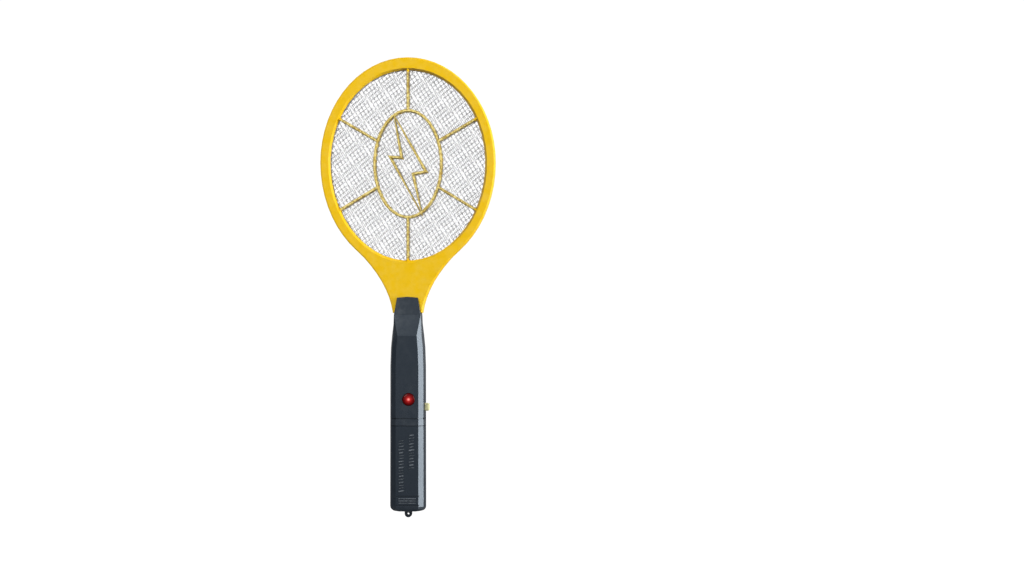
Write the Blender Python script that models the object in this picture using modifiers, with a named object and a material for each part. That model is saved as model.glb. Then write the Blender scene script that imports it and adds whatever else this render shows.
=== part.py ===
"""Electric fly swatter: oval three-layer wire grid in a yellow frame, on a faceted black handle.

Sizes are in millimetres and become metres when a mesh is made. +Z runs from the handle to the head and
the front faces -Y. Heights are measured from the flat end of the handle, which stands END_HEIGHT above
the lowest point of the hanging loop.
"""

import math

import bmesh
import bpy
from mathutils import Vector

MM = 0.001
END_HEIGHT = 6.8
GAP = 0.3

# head
HEAD_Z = 336.9
HEAD_HALF_WIDTH = 84.8
HEAD_HALF_TOP = 101.8
HEAD_HALF_BOTTOM = 104.8
OPENING_Z = 334.3
OPENING_HALF_WIDTH = 75.0
OPENING_HALF_HEIGHT = 92.0
OPENING_BEVEL = 2.0
GRID_HALF_WIDTH = 77.5
GRID_HALF_HEIGHT = 94.5
HEAD_EGG = 0.02
FRAME_HALF_DEPTH = 7.5
FRAME_BEVEL_DEPTH = 1.1
FRAME_BEVEL = 1.2
LIP_BACK = 4.6
PARTING = 0.15
GRID_THICKNESS = 0.4
GRID_PITCH = 20.0
GRID_ACUTE = math.radians(78.5)
OUTER_GRID_TURN = math.radians(-1.75)
INNER_GRID_TURN = math.radians(-14.0)
GRID_BAR = 1.8
GRID_RIM = 1.5
SMALLEST_OPENING = 25.0
OUTER_GRID_Y = 4.1

# grille
RIB_WIDTH = 2.9
RIB_CREST = 1.5
RIB_BACK = 4.7
SPOKE_FRONT = 6.9
OVAL_FRONT = 7.0
BOLT_FRONT = 7.2
OVAL_Z = 335.8
OVAL_HALF_WIDTH = 32.4
OVAL_HALF_HEIGHT = 51.7
RING_JOIN = 2.6
SPOKES = [((28.8, 357.3), (68.6, 380.6)), ((28.6, 313.6), (68.2, 289.8))]
BOLT = [(-13.2, 382.3), (17.6, 328.2), (4.9, 325.9), (13.6, 286.9), (-17.2, 342.5), (-6.1, 341.7)]

# neck
NECK_TOP = 252.0
NECK_END = 191.4
NECK_END_HALF_WIDTH = 14.3
NECK_SLOPE = 0.1328
NECK_CURVE = 0.00732
TENON_HALF_WIDTH = 9.2
TENON_HEAD_HALF_WIDTH = 10.8
TENON_HEAD_TOP = 174.4
TENON_END = 170.0
CHANNEL_HALF_WIDTH = 6.0
CHANNEL_TOP = 244.0
RING_SCREW_HALF_WIDTH = 81.3
RING_SCREW_HALF_HEIGHT = 98.6

# handle: height, half widths at the parting line, shoulder and flat, depths of the flat and the shoulder
HANDLE = [
    (4.5, 17.5, 15.7, 11.0, 13.5, 9.2),
    (140.0, 17.3, 15.5, 11.0, 13.5, 9.4),
    (158.0, 16.7, 14.9, 10.3, 13.5, 9.35),
    (169.6, 15.6, 13.75, 9.3, 13.5, 9.45),
    (189.4, 13.15, 13.05, 12.9, 10.25, 10.1),
    (206.2, 10.15, 10.05, 9.9, 9.5, 9.3),
]
HANDLE_TOP = 206.2
TOP_ARC = 0.9
END_ROUND = 4.5
WALL = 1.8
SIDE_WALL = 1.85
SHOULDER_WALL = 1.65
END_WALL = 2.0
SHELL_SHOULDER = 191.1
PINCH = (175.0, 177.5)
PINCH_HALF_WIDTH = 9.6
COVER_TOP = 82.4
MARK_FRONT = 14.0
GROOVE_Z = 89.7
LOOP_Z = -3.2
LOOP_RADIUS = 3.6
LOOP_HOLE = 1.0
LOOP_ROOT = 0.9
LOOP_FRONT = 1.2
LOOP_BACK = 5.2
GROOVE_HALF_WIDTH = 0.5
GROOVE_DEPTH = 0.6
SEAM = 0.5
MARK_ROOT = 13.2
MARK_SLOPE = 0.8
MARK_SPACE = 1.9
MARK_LENGTHS = (3.0, 1.6, 2.2, 1.6, 3.6)
MARK_COLUMNS = [(19.0, 69.5, -5.5), (41.5, 75.5, 4.4)]
GRIP_HALF_WIDTH = 8.5
GRIP_HALF_HEIGHT = 0.55
GRIP_HEIGHTS = (8.2, 10.4, 12.6)
COVER_LINES = [(14.9, 0.45), (5.9, 0.3)]
COVER_LINE_DEPTH = 0.5
TONGUE_X = 7.2

# battery bay
CELL_RADIUS = 7.1
CELL_LENGTH = 49.3
NUB_RADIUS = 2.6
NUB_LENGTH = 1.2
CELL_X = 7.4
BAY_LOW = 8.0
BAY_HIGH = 68.0
BAY_WALL = 1.6
CELL_RIB = (0.7, 5.2, 12.6)
BRIDGE_HALF_WIDTH = 12.5
PLATE_HALF_DEPTH = 5.0
PLATE_HALF_WIDTH = 4.5
PLATE_X = 7.0
SPRING_TURNS = 3
SPRING_WIDE = 4.6
SPRING_NARROW = 2.6
SPRING_WIRE = 0.35
WIRE_HOLE = 1.3
WIRE_Y = 4.5

# electronics
BOARD_Y = 3.6
BOARD_THICKNESS = 1.6
BOARD_HALF_WIDTH = 12.3
BOARD_LOW = 92.0
BOARD_HIGH = 161.0
LENS_X = 1.5
LENS_Z = 108.2
LENS_RADIUS = 6.0
BUTTON_Z = 100.5
BUTTON_HALF_HEIGHT = 3.7
BUTTON_HALF_DEPTH = 3.6
BUTTON_OUT = 20.9
SCREW_HEAD = 2.1
SCREW_SHANK = 1.1
SCREW_HOLE = 1.5
SCREW_RECESS = 2.5
HEAD_SCREW_SEAT = 5.5
HANDLE_SCREW_SEAT = 9.6
HEAD_SCREW_LENGTH = 9.0
HANDLE_SCREW_LENGTH = 15.0
BOARD_SCREW_LENGTH = 6.0
FRONT_BOSS = 2.9
REAR_BOSS = 3.4
BOARD_BOSS = 2.6
BOARD_BOSS_END = 12.6

for old in list(bpy.data.objects):
    bpy.data.objects.remove(old, do_unlink=True)

parts = bpy.data.collections.new("fly_swatter")
guides = bpy.data.collections.new("cutters")
bpy.context.scene.collection.children.link(parts)
bpy.context.scene.collection.children.link(guides)


def colour(name, rgb, roughness, metallic=0.0):
    made = bpy.data.materials.new(name)
    made.use_nodes = True
    shader = made.node_tree.nodes["Principled BSDF"]
    shader.inputs["Base Color"].default_value = (*rgb, 1.0)
    shader.inputs["Roughness"].default_value = roughness
    shader.inputs["Metallic"].default_value = metallic
    made.diffuse_color = (*rgb, 1.0)
    return made


YELLOW = (0.87, 0.57, 0.03)
BLACK = (0.035, 0.045, 0.056)
STEEL = (0.62, 0.62, 0.62)


def empty(name, at, parent=None):
    made = bpy.data.objects.new(name, None)
    made.empty_display_size = 0.01
    made.location = Vector(at) * MM
    made.parent = parent
    parts.objects.link(made)
    return made


root = empty("swatter", (0, 0, END_HEIGHT))
COVER_SLIDE_AT = (0, -7, 0)
BUTTON_SLIDE_AT = (17.5, 0, BUTTON_Z)
cover_slide = empty("cover_slide", COVER_SLIDE_AT, root)
button_slide = empty("button_slide", BUTTON_SLIDE_AT, root)
carriers = {
    "root": (root, (0, 0, 0)),
    "cover": (cover_slide, COVER_SLIDE_AT),
    "button": (button_slide, BUTTON_SLIDE_AT),
}


FLAT_WITHIN = 1e-7
WELD = 1e-5


def is_warped(face):
    """Whether a face's corners leave its plane, so that it has to be split into triangles."""
    middle = face.calc_center_median()
    return max(abs((v.co - middle).dot(face.normal)) for v in face.verts) > FLAT_WITHIN


def place(name, data, at, look=None, carrier="root"):
    """Object at a point in handle millimetres, hung on its carrier. No look: a cutter."""
    parent, held_at = carriers[carrier]
    made = bpy.data.objects.new(name, data)
    made.parent = parent
    made.location = (Vector(at) - Vector(held_at)) * MM
    if look:
        data.materials.append(look)
        parts.objects.link(made)
    else:
        made.hide_render = True
        made.display_type = "WIRE"
        guides.objects.link(made)
    return made


def to_mesh(shape, name):
    mesh = bpy.data.meshes.new(name)
    shape.to_mesh(mesh)
    shape.free()
    return mesh


def box(name, low, high, look=None, carrier="root"):
    """Block between two opposite corners, with its origin in the middle."""
    size = Vector(high) - Vector(low)
    shape = bmesh.new()
    cube = bmesh.ops.create_cube(shape, size=MM)
    bmesh.ops.scale(shape, vec=size, verts=cube["verts"])
    return place(name, to_mesh(shape, name), (Vector(low) + Vector(high)) / 2, look, carrier)


def turned(name, axis, centre, profile, sides, look=None, carrier="root"):
    """Turned solid. The profile lists (place along the axis, radius). centre: the other two coordinates."""
    along = "XYZ".index(axis)
    outwards = 1 if axis == "X" else 0
    if profile[0][0] < profile[-1][0]:
        profile = profile[::-1]
    at = list(centre)
    at.insert(along, profile[0][0])
    points = []
    for position, radius in [(profile[0][0], 0.0)] + profile + [(profile[-1][0], 0.0)]:
        point = [0.0, 0.0, 0.0]
        point[along] = (position - profile[0][0]) * MM
        point[outwards] = radius * MM
        points.append(point)
    mesh = bpy.data.meshes.new(name)
    mesh.from_pydata(points, [(i, i + 1) for i in range(len(points) - 1)], [])
    made = place(name, mesh, at, look, carrier)
    spin = made.modifiers.new("turned", "SCREW")
    spin.axis = axis
    spin.steps = sides
    spin.render_steps = sides
    spin.use_merge_vertices = True
    spin.merge_threshold = WELD
    return made


def as_mesh(drawn):
    """The drawn curve as a closed mesh of the same name and place, so that it can be cut or joined."""
    bpy.context.view_layer.update()
    seen = drawn.evaluated_get(bpy.context.evaluated_depsgraph_get())
    mesh = bpy.data.meshes.new_from_object(seen)
    shape = bmesh.new()
    shape.from_mesh(mesh)
    bmesh.ops.remove_doubles(shape, verts=shape.verts, dist=WELD)
    shape.to_mesh(mesh)
    shape.free()
    made = bpy.data.objects.new(drawn.name, mesh)
    made.parent = drawn.parent
    made.location = drawn.location
    made.rotation_euler = drawn.rotation_euler
    made.hide_render = drawn.hide_render
    made.display_type = drawn.display_type
    for collection in drawn.users_collection:
        collection.objects.link(made)
    name = drawn.name
    bpy.data.objects.remove(drawn, do_unlink=True)
    made.name = name
    return made


def flat(name, outlines, y_low, y_high, look=None):
    """Flat piece that faces along Y: the first outline in X and Z, less the others inside it."""
    drawing = bpy.data.curves.new(name, "CURVE")
    drawing.dimensions = "2D"
    drawing.fill_mode = "BOTH"
    drawing.extrude = (y_high - y_low) / 2 * MM
    middle = sum(z for _, z in outlines[0]) / len(outlines[0])
    for outline in outlines:
        spline = drawing.splines.new("POLY")
        spline.points.add(len(outline) - 1)
        for point, (x, z) in zip(spline.points, outline):
            point.co = (x * MM, (z - middle) * MM, 0, 1)
        spline.use_cyclic_u = True
    made = place(name, drawing, (0, (y_low + y_high) / 2, middle), look)
    made.rotation_euler = (math.pi / 2, 0, 0)
    return made


def wire(name, path, radius, look=None, resolution=1):
    """Round wire along a path, with flat ends."""
    path = [Vector(p) for p in path]
    drawing = bpy.data.curves.new(name, "CURVE")
    drawing.dimensions = "3D"
    drawing.bevel_depth = radius * MM
    drawing.bevel_resolution = resolution
    drawing.use_fill_caps = True
    spline = drawing.splines.new("POLY")
    spline.points.add(len(path) - 1)
    for point, here in zip(spline.points, path):
        point.co = (*((here - path[0]) * MM), 1)
    return place(name, drawing, path[0], look)


def loft(name, rings, look=None, carrier="root", closed=False):
    """Solid through rings of points. It has flat ends, or is closed, its last ring meeting its first."""
    count = len(rings[0])
    points = [p for ring in rings for p in ring]
    low = [min(p[i] for p in points) for i in range(3)]
    high = [max(p[i] for p in points) for i in range(3)]
    middle = Vector([round((a + b) / 2, 1) for a, b in zip(low, high)])
    shape = bmesh.new()
    corners = [shape.verts.new((Vector(p) - middle) * MM) for p in points]
    levels = len(rings) if closed else len(rings) - 1
    for level in range(levels):
        start = level * count
        end = (level + 1) % len(rings) * count
        for i in range(count):
            j = (i + 1) % count
            shape.faces.new([corners[start + i], corners[start + j], corners[end + j], corners[end + i]])
    if not closed:
        shape.faces.new(corners[:count])
        shape.faces.new(corners[-count:])
    bmesh.ops.recalc_face_normals(shape, faces=shape.faces)
    warped = [face for face in shape.faces if is_warped(face)]
    bmesh.ops.triangulate(shape, faces=warped)
    return place(name, to_mesh(shape, name), middle, look, carrier)


def band(name, outer, inner, look=None):
    """Ring-shaped solid between outer and inner rings of points."""
    return loft(name, outer + inner[::-1], look, closed=True)


def at_depth(outline, y):
    """An outline in X and Z as points at a depth along Y."""
    return [(x, y, z) for x, z in outline]


def circle(radius, count, centre=(0, 0), start=0.0):
    turn = 2 * math.pi / count
    return [
        (centre[0] + radius * math.cos(start + i * turn), centre[1] + radius * math.sin(start + i * turn))
        for i in range(count)
    ]


def smooth_path(corners, steps=3):
    """Path through the corners, rounded as a Catmull-Rom curve."""
    ends = [corners[0]] + list(corners) + [corners[-1]]
    ends = [Vector(p) for p in ends]
    path = []
    for a, b, c, d in zip(ends, ends[1:], ends[2:], ends[3:]):
        for i in range(steps):
            t = i / steps
            square = (2 * a - 5 * b + 4 * c - d) * t**2
            cube = (3 * b - a - 3 * c + d) * t**3
            path.append((2 * b + (c - a) * t + square + cube) / 2)
    path.append(ends[-1])
    return path


def combine(target, other, operation):
    step = target.modifiers.new(operation.lower(), "BOOLEAN")
    step.operation = operation
    step.object = other
    step.solver = "EXACT"


def cut(target, *cutters):
    for cutter in cutters:
        combine(target, cutter, "DIFFERENCE")


def add(target, *others):
    for other in others:
        combine(target, other, "UNION")


def inset(outline, distance):
    """The outline moved inwards by a distance. The outline runs anticlockwise seen from the front."""
    moved = []
    for i, (x, z) in enumerate(outline):
        before = outline[i - 1]
        after = outline[(i + 1) % len(outline)]
        first = Vector((x - before[0], z - before[1])).normalized()
        second = Vector((after[0] - x, after[1] - z)).normalized()
        along = (first + second).normalized()
        reach = distance / max(0.5, along.dot(first))
        moved.append((x - along.y * reach, z + along.x * reach))
    return moved


def ellipse(half_width, half_height, centre_z, count, egg=0.0):
    """Anticlockwise ellipse, made wider towards the top by the share egg."""
    outline = []
    for c, s in circle(1.0, count, start=math.pi / count):
        outline.append((half_width * c * (1 + egg * s), centre_z + half_height * s))
    return outline


yellow = colour("frame_yellow", YELLOW, 0.38)
black = colour("handle_black", BLACK, 0.33)
cover_black = colour("cover_black", (0.037, 0.046, 0.056), 0.36)
mesh_metal = colour("grid_metal", (0.78, 0.78, 0.78), 0.35, 0.9)
inner_metal = colour("inner_grid_metal", (0.70, 0.70, 0.71), 0.35, 0.9)
insulator = colour("spacer_white", (0.80, 0.80, 0.76), 0.5)
steel = colour("screw_steel", STEEL, 0.35, 1.0)
contact = colour("contact_nickel", (0.66, 0.65, 0.60), 0.3, 1.0)
cell_look = colour("cell_can", (0.55, 0.12, 0.05), 0.4, 0.6)
board_look = colour("board_green", (0.03, 0.20, 0.08), 0.45)
core_look = colour("ferrite", (0.06, 0.06, 0.065), 0.6)
copper = colour("winding_tape", (0.75, 0.55, 0.10), 0.45)
capacitor_look = colour("capacitor_red", (0.42, 0.06, 0.03), 0.35)
disc_look = colour("disc_blue", (0.05, 0.16, 0.45), 0.4)
chip_look = colour("epoxy_black", (0.03, 0.03, 0.03), 0.55)
diode_look = colour("diode_black", (0.05, 0.05, 0.05), 0.4)
resistor_look = colour("resistor_tan", (0.60, 0.45, 0.25), 0.5)
led_look = colour("led_red", (0.80, 0.05, 0.04), 0.2)
lens_look = colour("lens_red", (0.50, 0.01, 0.01), 0.12)
button_look = colour("button_yellow", (0.80, 0.74, 0.35), 0.4)
switch_look = colour("switch_body", (0.08, 0.08, 0.09), 0.45)
plunger_look = colour("plunger_white", (0.85, 0.85, 0.82), 0.45)
red_wire = colour("wire_red", (0.60, 0.03, 0.03), 0.45)
black_wire = colour("wire_black", (0.03, 0.03, 0.03), 0.45)
hv_wire = colour("wire_white", (0.80, 0.80, 0.80), 0.45)


# ---- screws ----
def screw(name, at, length, flipped=False):
    """Pan-head screw whose head sits on the point at and faces +Y, or -Y when flipped."""
    sense = -1 if flipped else 1
    profile = [(-length, SCREW_SHANK), (0.0, SCREW_SHANK), (0.0, SCREW_HEAD), (0.9, SCREW_HEAD)]
    profile.append((1.5, SCREW_HEAD * 0.6))
    profile = [(at[1] + sense * position, radius) for position, radius in profile]
    turned(name, "Y", (at[0], at[2]), profile, 8, steel)


NECK_SCREWS = [(-21.0, 229.0), (21.0, 229.0)]
RING_SCREW_ANGLES = [90, 42, -4, -47, 138, 184, 227]
HANDLE_SCREWS = [(-8.0, 165.6), (8.0, 165.6), (0.0, 86.6)]
BOSS_END = 11.85
BOARD_SCREWS = [(-9.0, 96.5), (8.5, 157.5)]
ring_screws = []
for angle in RING_SCREW_ANGLES:
    c = math.cos(math.radians(angle))
    s = math.sin(math.radians(angle))
    ring_screws.append((RING_SCREW_HALF_WIDTH * c, (OPENING_Z + HEAD_Z) / 2 + RING_SCREW_HALF_HEIGHT * s))

# ---- head frame, front and rear ----
RING_POINTS = 48


def head_outline():
    """Anticlockwise outline of ring, neck and tenon, as seen from the front with X to the right."""
    start = math.asin((NECK_TOP - HEAD_Z) / HEAD_HALF_BOTTOM)
    right = []
    for i in range(RING_POINTS // 2 + 1):
        angle = start + (math.pi / 2 - start) * i / (RING_POINTS // 2)
        s = math.sin(angle)
        height = HEAD_HALF_TOP if s > 0 else HEAD_HALF_BOTTOM
        right.append((HEAD_HALF_WIDTH * math.cos(angle), HEAD_Z + height * s))
    neck = []
    for i in range(8):
        t = (NECK_TOP - NECK_END) * i / 8
        neck.append((NECK_END_HALF_WIDTH + NECK_SLOPE * t + NECK_CURVE * t * t, NECK_END + t))
    tenon = [
        (TENON_HEAD_HALF_WIDTH, TENON_END),
        (TENON_HEAD_HALF_WIDTH, TENON_HEAD_TOP),
        (TENON_HALF_WIDTH, TENON_HEAD_TOP),
        (TENON_HALF_WIDTH, NECK_END),
    ]
    half = tenon + neck + right
    return half + [(-x, z) for x, z in half[-2::-1]]


def bar(start, end, width):
    """Outline of a straight rib between two points."""
    along = Vector((end[0] - start[0], end[1] - start[1])).normalized()
    x, z = -along.y * width / 2, along.x * width / 2
    left = [(start[0] + x, start[1] + z), (start[0] - x, start[1] - z)]
    return left + [(end[0] - x, end[1] - z), (end[0] + x, end[1] + z)]


def both_sides(outline, width):
    """The outline moved outwards and inwards by half the width."""
    return inset(outline, -width / 2), inset(outline, width / 2)


def head_half(name, side):
    """Half of the head frame: side -1 is the front, +1 the rear."""
    outline = head_outline()
    face = side * FRAME_HALF_DEPTH
    bevelled_from = side * (FRAME_HALF_DEPTH - FRAME_BEVEL_DEPTH)
    levels = [(outline, side * PARTING), (outline, bevelled_from), (inset(outline, FRAME_BEVEL), face)]
    made = loft(name, [at_depth(edge, y) for edge, y in levels], yellow)
    opening = []
    bevel_levels = [(0.0, 0.0), (0.0, 5.0), (OPENING_BEVEL * 1.4, 8.5)]
    for grow, y in bevel_levels:
        size = (OPENING_HALF_WIDTH + grow, OPENING_HALF_HEIGHT + grow)
        edge = ellipse(*size, OPENING_Z, RING_POINTS, HEAD_EGG)
        opening.append(at_depth(edge, side * y))
    rebate = ellipse(GRID_HALF_WIDTH + GAP, GRID_HALF_HEIGHT + GAP, OPENING_Z, RING_POINTS)
    cut(made, loft(name + "_opening", opening))
    rebate_levels = sorted((-side * 1.0, side * LIP_BACK))
    cut(made, as_mesh(flat(name + "_rebate", [rebate], *rebate_levels)))
    channel_low = (-CHANNEL_HALF_WIDTH, min(0, side * LIP_BACK), TENON_END - 2)
    channel_high = (CHANNEL_HALF_WIDTH, max(0, side * LIP_BACK), CHANNEL_TOP)
    cut(made, box(name + "_channel", channel_low, channel_high))
    for i, (x, z) in enumerate(ring_screws + NECK_SCREWS):
        if side > 0:
            seat = HEAD_SCREW_SEAT - GAP
            hole = [(-1.0, SCREW_HOLE), (seat, SCREW_HOLE), (seat, SCREW_RECESS), (9.0, SCREW_RECESS)]
        else:
            hole = [(-5.0, SCREW_HOLE), (1.0, SCREW_HOLE)]
        cut(made, turned(f"{name}_hole_{i}", "Y", (x, z), hole, 8))
    # grille, each rib with its own depth, so that no two faces are flush
    back = side * RIB_BACK
    oval = ellipse(OVAL_HALF_WIDTH, OVAL_HALF_HEIGHT, OVAL_Z, 32)
    spokes = []
    for up in (1, -1):
        inner = OVAL_Z + up * (OVAL_HALF_HEIGHT - 0.6)
        spokes.append(((0, inner), (0, OPENING_Z + up * (OPENING_HALF_HEIGHT + RING_JOIN))))
    for (inner_x, inner_z), (outer_x, outer_z) in SPOKES:
        for x in (-1, 1):
            spokes.append(((x * inner_x, inner_z), (x * outer_x, outer_z)))
    for i, (start, end) in enumerate(spokes):
        rings = [at_depth(bar(start, end, RIB_WIDTH), back)]
        rings.append(at_depth(bar(start, end, RIB_CREST), side * SPOKE_FRONT))
        add(made, loft(f"{name}_spoke_{i}", rings))
    for label, line, front, lift in (("oval", oval, OVAL_FRONT, 0.05), ("bolt", BOLT[::-1], BOLT_FRONT, 0.1)):
        base = [at_depth(edge, back + side * lift) for edge in both_sides(line, RIB_WIDTH)]
        crest = [at_depth(edge, side * front) for edge in both_sides(line, RIB_CREST)]
        add(made, band(f"{name}_{label}", [base[0], crest[0]], [base[1], crest[1]]))
    return made


head_half("front_frame", -1)
head_half("rear_frame", 1)
for i, (x, z) in enumerate(ring_screws):
    screw(f"head_screw_{i + 1}", (x, HEAD_SCREW_SEAT, z), HEAD_SCREW_LENGTH)
for i, (x, z) in enumerate(NECK_SCREWS):
    screw(f"neck_screw_{i + 1}", (x, HEAD_SCREW_SEAT, z), HEAD_SCREW_LENGTH)

# ---- wire grids and the rings between them ----


def clipped(outline, limit):
    """The part of a convex outline inside another convex, anticlockwise outline."""
    for i, start in enumerate(limit):
        end = limit[(i + 1) % len(limit)]
        edge = Vector(end) - Vector(start)
        kept = []
        for j, here in enumerate(outline):
            before = outline[j - 1]
            depth = edge.cross(Vector(here) - Vector(start))
            depth_before = edge.cross(Vector(before) - Vector(start))
            if depth * depth_before < 0:
                share = depth_before / (depth_before - depth)
                kept.append(tuple(Vector(before).lerp(Vector(here), share)))
            if depth >= 0:
                kept.append(here)
        outline = kept
        if len(outline) < 3:
            return []
    return outline


def area(outline):
    return 0.5 * abs(sum(a[0] * b[1] - a[1] * b[0] for a, b in zip(outline, outline[1:] + outline[:1])))


def grid(name, y, turn, look):
    """Expanded-metal sheet: an oval plate with rows of diamond openings."""
    half_long = GRID_PITCH * math.cos(GRID_ACUTE / 2)
    half_short = GRID_PITCH * math.sin(GRID_ACUTE / 2)
    shrink = 1 - GRID_BAR / (GRID_PITCH * math.sin(GRID_ACUTE))
    up = Vector((-math.sin(turn), math.cos(turn)))
    across = Vector((math.cos(turn), math.sin(turn)))
    outlines = [ellipse(GRID_HALF_WIDTH, GRID_HALF_HEIGHT, OPENING_Z, RING_POINTS)]
    rim = ellipse(GRID_HALF_WIDTH - GRID_RIM, GRID_HALF_HEIGHT - GRID_RIM, OPENING_Z, RING_POINTS)
    for row in range(-10, 11):
        for column in range(-10, 11):
            if (row + column) % 2:
                continue
            middle = across * (column * half_short) + up * (row * half_long)
            tips = [up * half_long, -across * half_short, -up * half_long, across * half_short]
            corners = [middle + tip * shrink + Vector((0, OPENING_Z)) for tip in tips]
            opening = clipped([tuple(corner) for corner in corners], rim)
            if area(opening) > SMALLEST_OPENING:
                outlines.append(opening)
    flat(name, outlines, y - GRID_THICKNESS / 2, y + GRID_THICKNESS / 2, look)


grid("front_mesh", -OUTER_GRID_Y, OUTER_GRID_TURN, mesh_metal)
grid("high_voltage_mesh", 0.0, INNER_GRID_TURN, inner_metal)
grid("rear_mesh", OUTER_GRID_Y, OUTER_GRID_TURN, mesh_metal)

ring_outer = ellipse(GRID_HALF_WIDTH, GRID_HALF_HEIGHT, OPENING_Z, RING_POINTS)
ring_inner = ellipse(OPENING_HALF_WIDTH + GAP, OPENING_HALF_HEIGHT + GAP, OPENING_Z, RING_POINTS)
near = GRID_THICKNESS / 2 + GAP
far = OUTER_GRID_Y - GRID_THICKNESS / 2 - GAP
for name, side in (("front_spacer", -1), ("rear_spacer", 1)):
    flat(name, [ring_outer, ring_inner], *sorted((side * near, side * far)), insulator)

# ---- handle shells ----


def handle_at(z):
    """Half widths and depths of the handle at a height, between the rows of HANDLE, rounded at the end."""
    rows = HANDLE if z >= HANDLE[0][0] else [HANDLE[0], HANDLE[0]]
    for low, high in zip(rows, rows[1:]):
        if z <= high[0] or high is rows[-1]:
            break
    share = (z - low[0]) / (high[0] - low[0]) if high[0] > low[0] else 0.0
    sizes = [a + (b - a) * share for a, b in zip(low[1:], high[1:])]
    if z < END_ROUND:
        rounding = END_ROUND - math.sqrt(END_ROUND**2 - (END_ROUND - z) ** 2)
        sizes = [size - rounding * share for size, share in zip(sizes, (1.0, 1.0, 0.7, 0.5, 0.5))]
    return sizes


def half_ring(z, side, sizes, reach):
    """Half of the handle's section at a height, carried past the parting line by reach."""
    w, c, f, d, e = sizes
    ring = [(w, -side * reach), (w, side * PARTING), (c, side * e), (f, side * d), (0, side * d)]
    ring += [(-x, y) for x, y in ring[3::-1]]
    return [(x, y, z) for x, y in ring]


STEP = 0.05
SLOT_HALF_WIDTH = 30.0


def outer_half(name, side, z_low, z_high, look, carrier="root"):
    """Outside of a shell half. A front half that reaches the groove has it cut all round."""
    heights = [0.0, 0.5, 1.4, 2.7] + [row[0] for row in HANDLE]
    levels = [(z, 0.0) for z in [z_low] + [z for z in heights if z_low < z < z_high] + [z_high]]
    if side < 0 and z_low < GROOVE_Z < z_high:
        for edge, inwards in ((GROOVE_Z - GROOVE_HALF_WIDTH, STEP), (GROOVE_Z + GROOVE_HALF_WIDTH, -STEP)):
            levels += [(edge, 0.0), (edge + inwards, GROOVE_DEPTH)]
    rings = []
    for z, depth in sorted(levels):
        w, c, f, d, e = [size - depth for size in handle_at(z)]
        arc = TOP_ARC if z == HANDLE_TOP else 0.0
        ring = [(w, side * PARTING), (c, side * e), (f, side * d), (0, side * d)]
        ring += [(-x, y) for x, y in ring[2::-1]]
        rings.append([(x, y, z + arc * (1 - (x / w) ** 2)) for x, y in ring])
    return loft(name, rings, look, carrier)


def hollow_half(name, side, z_low, z_high, carrier="root"):
    """Cutter for the room inside a shell half. Above the shoulder it widens into the slot for the neck."""
    necked = z_high > SHELL_SHOULDER
    heights = [row[0] for row in HANDLE if z_low < row[0] < min(z_high, SHELL_SHOULDER)]
    heights = [z_low] + heights + [SHELL_SHOULDER - STEP if necked else z_high]
    if necked:
        heights += [PINCH[0] - STEP, PINCH[0], PINCH[1], PINCH[1] + STEP]
    rings = []
    for z in sorted(heights):
        w, c, f, d, e = handle_at(max(z, END_ROUND))
        w -= SIDE_WALL
        c = min(c - SHOULDER_WALL, w - 0.05)
        d -= WALL
        sizes = [w, c, min(f - 0.7, c - 0.3), d, min(e - 0.9, d - 0.2)]
        if necked and PINCH[0] <= z <= PINCH[1]:
            sizes[:3] = [PINCH_HALF_WIDTH, PINCH_HALF_WIDTH - 0.05, PINCH_HALF_WIDTH - 0.35]
        rings.append(half_ring(z, side, sizes, 2.0))
    if necked:
        slot = [SLOT_HALF_WIDTH, SLOT_HALF_WIDTH - 0.1, SLOT_HALF_WIDTH - 1]
        slot += [FRAME_HALF_DEPTH + GAP, FRAME_HALF_DEPTH]
        rings += [half_ring(z, side, slot, 2.0) for z in (SHELL_SHOULDER, z_high)]
    return loft(name, rings, None, carrier)


# front shell, above the battery cover
front_shell = outer_half("front_shell", -1, COVER_TOP + SEAM, HANDLE_TOP, black)
cut(front_shell, hollow_half("front_shell_room", -1, COVER_TOP - 2, HANDLE_TOP + 5))
for i, (x, z) in enumerate(HANDLE_SCREWS):
    boss = [(-BOSS_END, FRONT_BOSS), (-PARTING, FRONT_BOSS)]
    add(front_shell, turned(f"front_boss_{i}", "Y", (x, z), boss, 12))
    hole = [(-7.0, SCREW_HOLE), (3.0, SCREW_HOLE)]
    cut(front_shell, turned(f"front_boss_hole_{i}", "Y", (x, z), hole, 8))
lens_seat = [(-16.0, LENS_RADIUS + GAP), (-9.0, LENS_RADIUS + GAP)]
cut(front_shell, turned("lens_hole", "Y", (LENS_X, LENS_Z), lens_seat, 24))
hole_low = (13.0, -BUTTON_HALF_DEPTH - 0.4, BUTTON_Z - BUTTON_HALF_HEIGHT - 0.4)
hole_high = (20.0, BUTTON_HALF_DEPTH + 0.4, BUTTON_Z + BUTTON_HALF_HEIGHT + 0.4)
button_hole = box("button_hole", hole_low, hole_high)
cut(front_shell, button_hole)

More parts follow.
